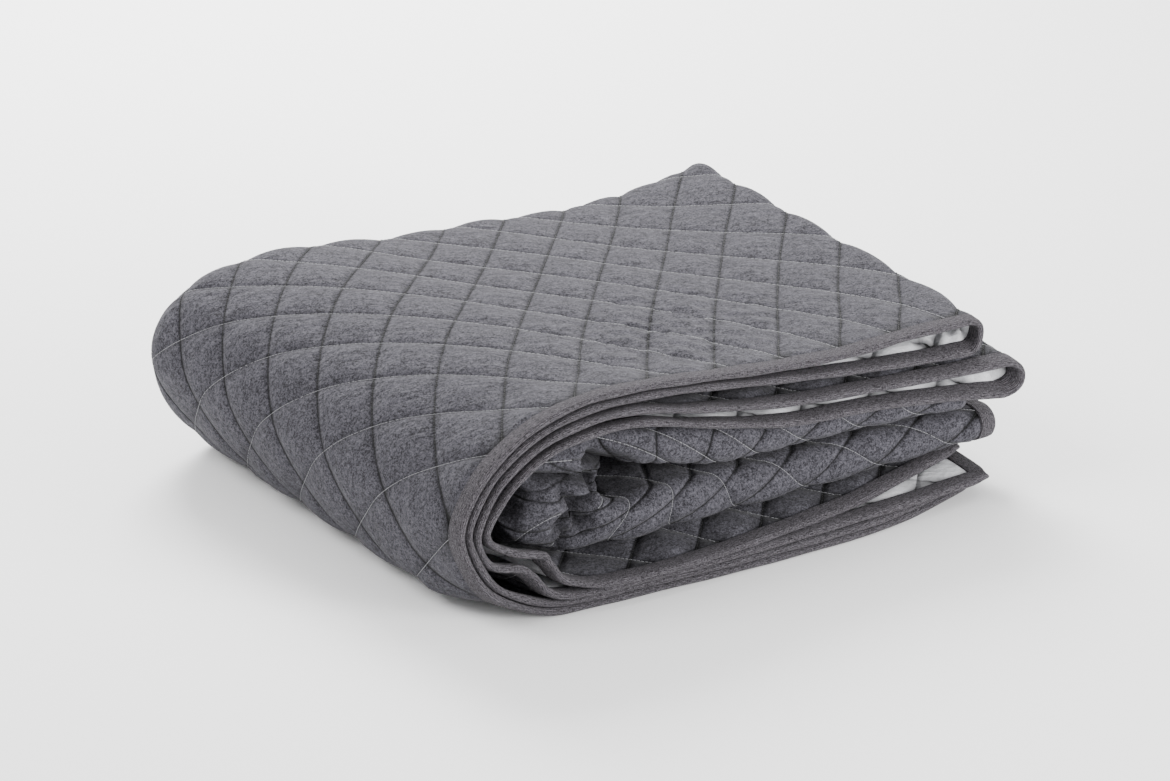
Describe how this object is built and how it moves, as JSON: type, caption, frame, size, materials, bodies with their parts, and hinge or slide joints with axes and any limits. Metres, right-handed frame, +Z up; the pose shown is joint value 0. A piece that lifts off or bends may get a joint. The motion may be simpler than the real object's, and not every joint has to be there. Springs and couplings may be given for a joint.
{
  "type": "bedspread",
  "caption": "Diamond-quilted bedspread with a dark marl face, a pale back and a bound edge, folded into a soft layered bundle that lies on a bed or shelf.",
  "frame": {"origin": "middle of the folded bundle's underside, on the surface that it lies on", "axes": "+Z up through the layers; +X along the longest side, from the round fold to the open turns; +Y from the bound front edges to the back folds"},
  "size_m": [0.7324, 0.5976, 0.2235],
  "materials": {
    "face_jersey": "charcoal marl jersey, matt",
    "back_jersey": "pale grey jersey, matt",
    "binding_knit": "dark grey fine knit, matt",
    "stitch_thread": "light grey sewing thread"
  },
  "bodies": {
    "root": {"face_cloth": "face_jersey", "back_cloth": "back_jersey", "edge_binding": "binding_knit"}
  },
  "joints": []
}
